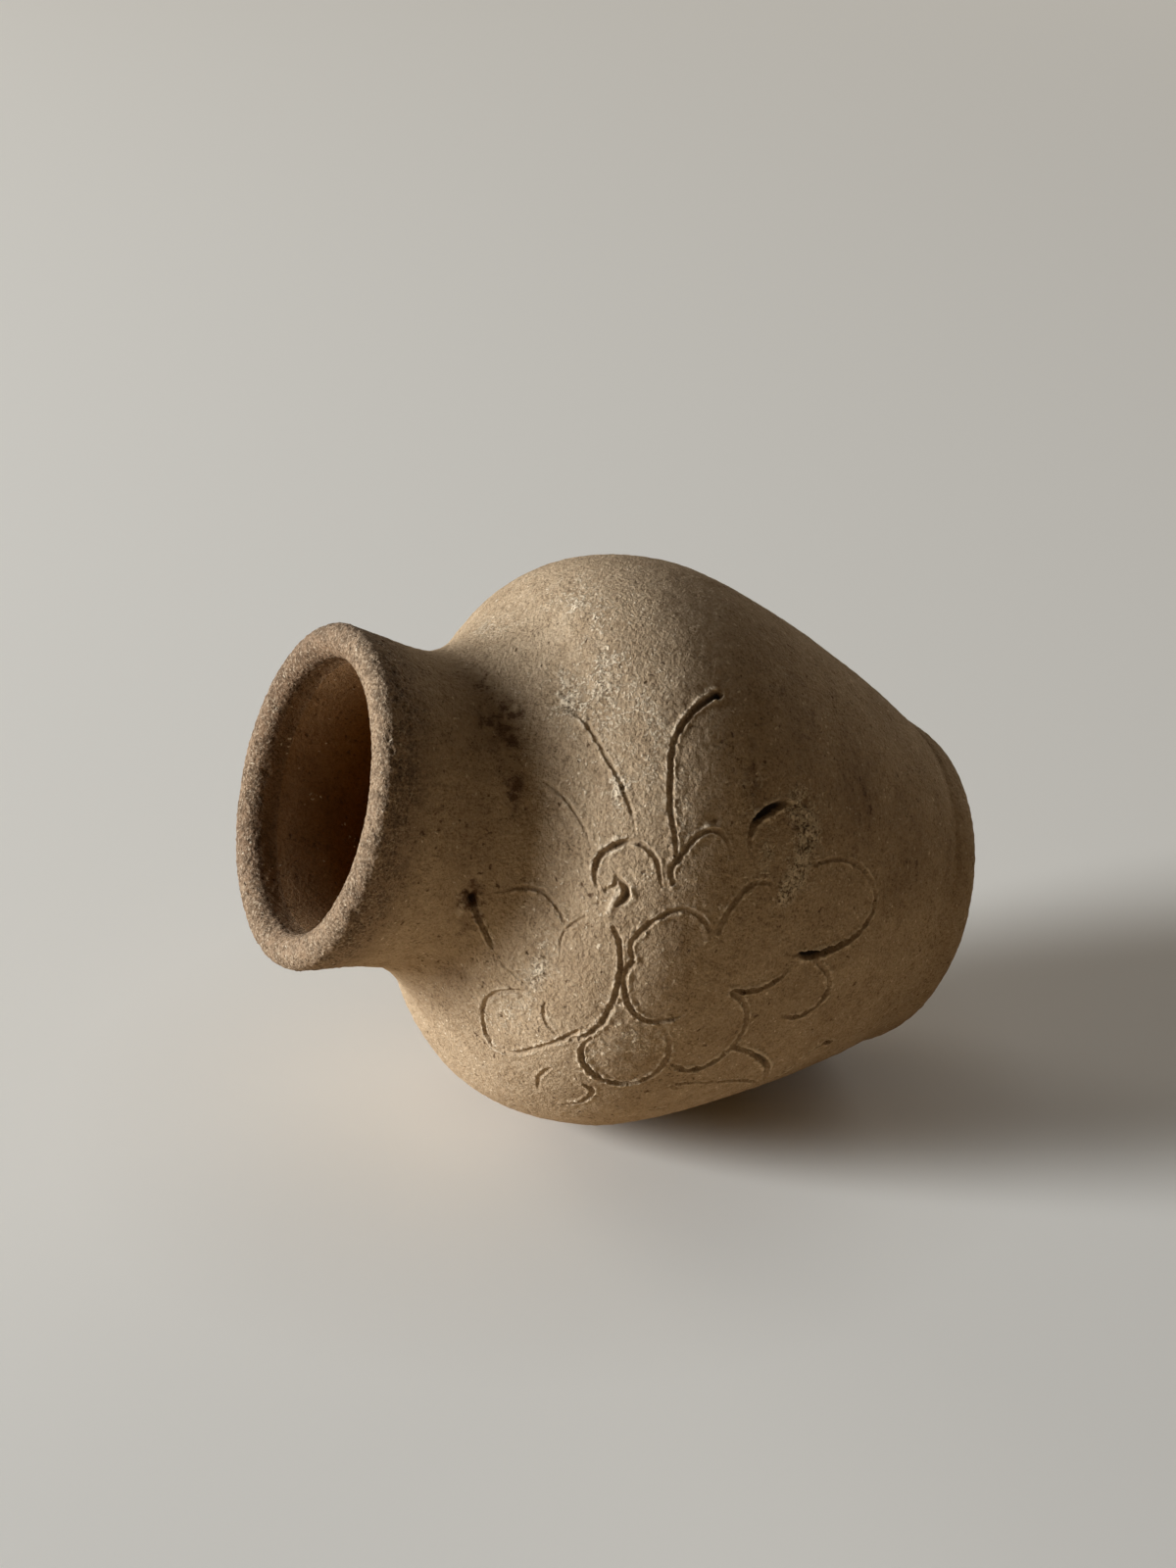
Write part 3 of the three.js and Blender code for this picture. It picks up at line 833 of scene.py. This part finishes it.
def lipWalls():
    outerTurn = potHeight - lipShape["shoulderDrop"]
    innerTurn = potHeight - lipShape["innerDrop"]
    outer = radiusOn(outerLine, outerTurn)
    inner = radiusOn(innerLine, innerTurn)
    crown = lipShape["crown"]
    square = lipShape["squareness"]
    rows = wallRows(outerLine, lipJoint, outerTurn, skinCells["lipWall"], 1.0)
    rows += curveRows((outer, outerTurn), (outer, outerTurn + square * (potHeight - outerTurn)),
                      (crown + square * (outer - crown), potHeight), (crown, potHeight), (1, 1))[1:]
    rows += curveRows((crown, potHeight), (crown + square * (inner - crown), potHeight),
                      (inner, innerTurn + square * (potHeight - innerTurn)), (inner, innerTurn), (1, 0.5))[1:]
    rows += wallRows(innerLine, lipJoint, innerTurn, skinCells["lipWall"], 0.3)[::-1][1:]
    return [evenRows(rows, skinCells["lip"])]


def wallSection(fromHeight, toHeight):
    return [
        wallRows(outerLine, fromHeight, toHeight, skinCells["outer"], 1.0),
        wallRows(innerLine, fromHeight, toHeight, skinCells["inner"], 0.0)[::-1],
    ]


potPieces = {
    "potFoot": {"node": "foot_disc", "slot": "foot_clay", "clay": "footClay",
                "walls": footWalls(), "closed": False},
    "lowerBelly": {"node": "lower_belly", "slot": "wall_clay", "clay": "wallClay",
                   "walls": wallSection(footTop, bellyRing)},
    "upperBelly": {"node": "upper_belly", "slot": "wall_clay", "clay": "wallClay",
                   "walls": wallSection(bellyRing, neckJoint)},
    "neckCollar": {"node": "neck_collar", "slot": "neck_clay", "clay": "neckClay",
                   "walls": wallSection(neckJoint, lipJoint)},
    "rimLip": {"node": "rim_lip", "slot": "lip_clay", "clay": "lipClay",
               "walls": lipWalls(), "steps": skinCells["lipSteps"]},
}
for name, piece in potPieces.items():
    piece["material"] = materials[piece["clay"]]
    skin = turnSkin(piece["walls"], piece.get("closed", True), piece.get("steps", skinCells["roundSteps"]))
    refineSkin(skin, groove["fineReach"])
    refineSkin(skin, groove["finestReach"])
    finishSkin(name, skin, piece)

# The camera, the table that the lying pot touches, and the table's directions as the camera sees them

photoCamera = {
    "aim": (0.0078, -0.0015, 0.0540),
    "distance": 0.4338, "azimuth": -27.14, "elevation": 29.29, "roll": -80.88,
    "lens": 67.5, "sensor": 36.0,
}

table = {
    "leansTo": 45.0,  # the side of the pot that faces away from the table, seen as a view's azimuth
    "tilt": 19.2,  # how far the lying pot's mouth end is raised
    "drop": 24.7,  # from the middle of the foot down to the table
    "radius": 4000.0, "sides": 64,
    "colour": (0.80, 0.82, 0.82),  # as the camera sees it
    "bounce": (0.73, 0.58, 0.40),  # as the pot sees it
    "touch": (-29.6, 29.6, 46.0),  # where the belly lies on it
    "glow": 0.075,  # painted light: it lifts the long shadow, and stays off right under the belly, which leaves a painted contact shadow there
    "glowFrom": 28.0, "glowFull": 75.0,  # distances from the touch
    "underGlow": 0.05,  # a glow the pot sees, painted fill light so that the side that lies on the table isn't black
}


def viewedFrom(azimuth, elevation):
    around, above = math.radians(azimuth), math.radians(elevation)
    return Vector((math.sin(around) * math.cos(above), -math.cos(around) * math.cos(above), math.sin(above)))


tableUp = viewedFrom(table["leansTo"], table["tilt"])
cameraWay = viewedFrom(photoCamera["azimuth"], photoCamera["elevation"])
tableAway = (tableUp * cameraWay.dot(tableUp) - cameraWay).normalized()
tableLeft = tableUp.cross(tableAway)


def tablePaint():
    material = bpy.data.materials.new("tablePaint")
    material.use_nodes = True
    tree = material.node_tree
    tree.nodes.clear()
    clear = addNode(tree, "ShaderNodeBsdfTransparent", {})
    below = addNode(tree, "ShaderNodeNewGeometry", {}).outputs["Backfacing"]
    camera = addNode(tree, "ShaderNodeLightPath", {}).outputs["Is Camera Ray"]
    colours = {0: camera, 6: (*table["bounce"], 1.0), 7: (*table["colour"], 1.0)}
    seen = addNode(tree, "ShaderNodeMix", colours, data_type="RGBA").outputs[2]
    paint = addNode(tree, "ShaderNodeBsdfDiffuse", {"Color": seen})
    coords = addNode(tree, "ShaderNodeTexCoord", {}).outputs["Object"]
    # Painted light: the table glows more the farther it is from the touch, so the shade under the belly is
    # painted
    touch = Vector(table["touch"]) / mmPerMetre
    away = addNode(tree, "ShaderNodeVectorMath", {0: coords, 1: touch}, operation="DISTANCE").outputs["Value"]
    away = addNode(tree, "ShaderNodeMapRange", {
        "Value": away, "From Min": table["glowFrom"] / mmPerMetre, "From Max": table["glowFull"] / mmPerMetre,
        "To Min": 0.0, "To Max": table["glow"],
    }).outputs[0]
    strengths = {0: camera, 2: table["underGlow"], 3: away}
    glow = addNode(tree, "ShaderNodeMix", strengths, data_type="FLOAT").outputs[0]
    glow = addNode(tree, "ShaderNodeEmission", {"Color": seen, "Strength": glow})
    paint = addNode(tree, "ShaderNodeAddShader", {0: paint.outputs[0], 1: glow.outputs[0]})
    hidden = addNode(tree, "ShaderNodeMath", {0: below, 1: camera}, operation="MULTIPLY").outputs[0]
    surface = addNode(tree, "ShaderNodeMixShader", {0: hidden, 1: paint.outputs[0], 2: clear.outputs[0]})
    addNode(tree, "ShaderNodeOutputMaterial", {0: surface.outputs[0]})
    return material


def makeTable():
    top = bmesh.new()
    bmesh.ops.create_circle(top, cap_ends=True, radius=table["radius"], segments=table["sides"])
    turn = Vector((0, 0, 1)).rotation_difference(tableUp)
    bmesh.ops.rotate(top, verts=top.verts, cent=(0, 0, 0), matrix=turn.to_matrix())
    bmesh.ops.translate(top, verts=top.verts, vec=-tableUp * table["drop"])
    bmesh.ops.scale(top, verts=top.verts, vec=(1 / mmPerMetre,) * 3)
    mesh = bpy.data.meshes.new("table")
    top.to_mesh(mesh)
    top.free()
    made = bpy.data.objects.new("table", mesh)
    bpy.context.scene.collection.objects.link(made)
    mesh.materials.append(tablePaint())


makeTable()
print("table ready")

# Light: a low soft window on the left of the lying pot, two weak ones behind it, and a weak warm room.
# "around" turns from the table's left towards its back, and "above" is the height over the table.

lamps = {
    "windowLight": {"around": -11, "above": 16, "distance": 2.0, "wide": 0.65, "tall": 0.90, "power": 60.0,
                    "colour": (1.0, 0.985, 0.95)},
    "sideLight": {"around": 45, "above": 14, "distance": 2.0, "wide": 0.8, "tall": 0.8, "power": 8.0,
                  "colour": (1.0, 0.92, 0.80)},
    "backLight": {"around": 118, "above": 18, "distance": 2.0, "wide": 1.2, "tall": 0.8, "power": 5.5,
                  "colour": (1.0, 0.92, 0.80)},
}
lampsTurnAbout = Vector((0, 0, 0.05))
roomLight = {"fill": (1.0, 0.64, 0.30), "fillStrength": 0.060, "backdrop": (0.60, 0.59, 0.55)}


def makeLight(name, settings):
    lamp = bpy.data.lights.new(name, "AREA")
    lamp.shape = "ELLIPSE"
    lamp.size, lamp.size_y = settings["wide"], settings["tall"]
    lamp.energy = settings["power"]
    lamp.color = settings["colour"]
    made = bpy.data.objects.new(name, lamp)
    bpy.context.scene.collection.objects.link(made)
    around, above = math.radians(settings["around"]), math.radians(settings["above"])
    back = tableLeft * math.cos(around) + tableAway * math.sin(around)
    back = tableUp * math.sin(above) + back * math.cos(above)
    side = tableUp.cross(back).normalized()
    made.matrix_world = Matrix((side, back.cross(side), back)).transposed().to_4x4()
    made.location = back * settings["distance"] + lampsTurnAbout


def makeRoom():
    world = bpy.data.worlds.new("room")
    bpy.context.scene.world = world
    world.use_nodes = True
    tree = world.node_tree
    tree.nodes.clear()
    path = addNode(tree, "ShaderNodeLightPath", {})
    seen = path.outputs["Is Camera Ray"]
    for ray in ("Is Glossy Ray", "Is Transmission Ray"):
        seen = addNode(tree, "ShaderNodeMath", {0: seen, 1: path.outputs[ray]}, operation="MAXIMUM").outputs[0]
    fill = {"Color": (*roomLight["fill"], 1.0), "Strength": roomLight["fillStrength"]}
    fill = addNode(tree, "ShaderNodeBackground", fill).outputs[0]
    backdrop = {"Color": (*roomLight["backdrop"], 1.0), "Strength": 1.0}
    backdrop = addNode(tree, "ShaderNodeBackground", backdrop).outputs[0]
    surface = addNode(tree, "ShaderNodeMixShader", {0: seen, 1: fill, 2: backdrop})
    addNode(tree, "ShaderNodeOutputWorld", {0: surface.outputs[0]})


for name, settings in lamps.items():
    makeLight(name, settings)
makeRoom()
print("lights ready")


def makeCamera():
    lens = bpy.data.cameras.new("photoCamera")
    lens.lens = photoCamera["lens"]
    lens.sensor_width = photoCamera["sensor"]
    made = bpy.data.objects.new("photoCamera", lens)
    bpy.context.scene.collection.objects.link(made)
    made.location = Vector(photoCamera["aim"]) + cameraWay * photoCamera["distance"]
    made.rotation_mode = "QUATERNION"
    roll = Quaternion((0, 0, 1), math.radians(photoCamera["roll"]))
    made.rotation_quaternion = (-cameraWay).to_track_quat("-Z", "Y") @ roll
    bpy.context.scene.camera = made


makeCamera()
bpy.context.scene.view_settings.view_transform = "Standard"
print("camera ready")
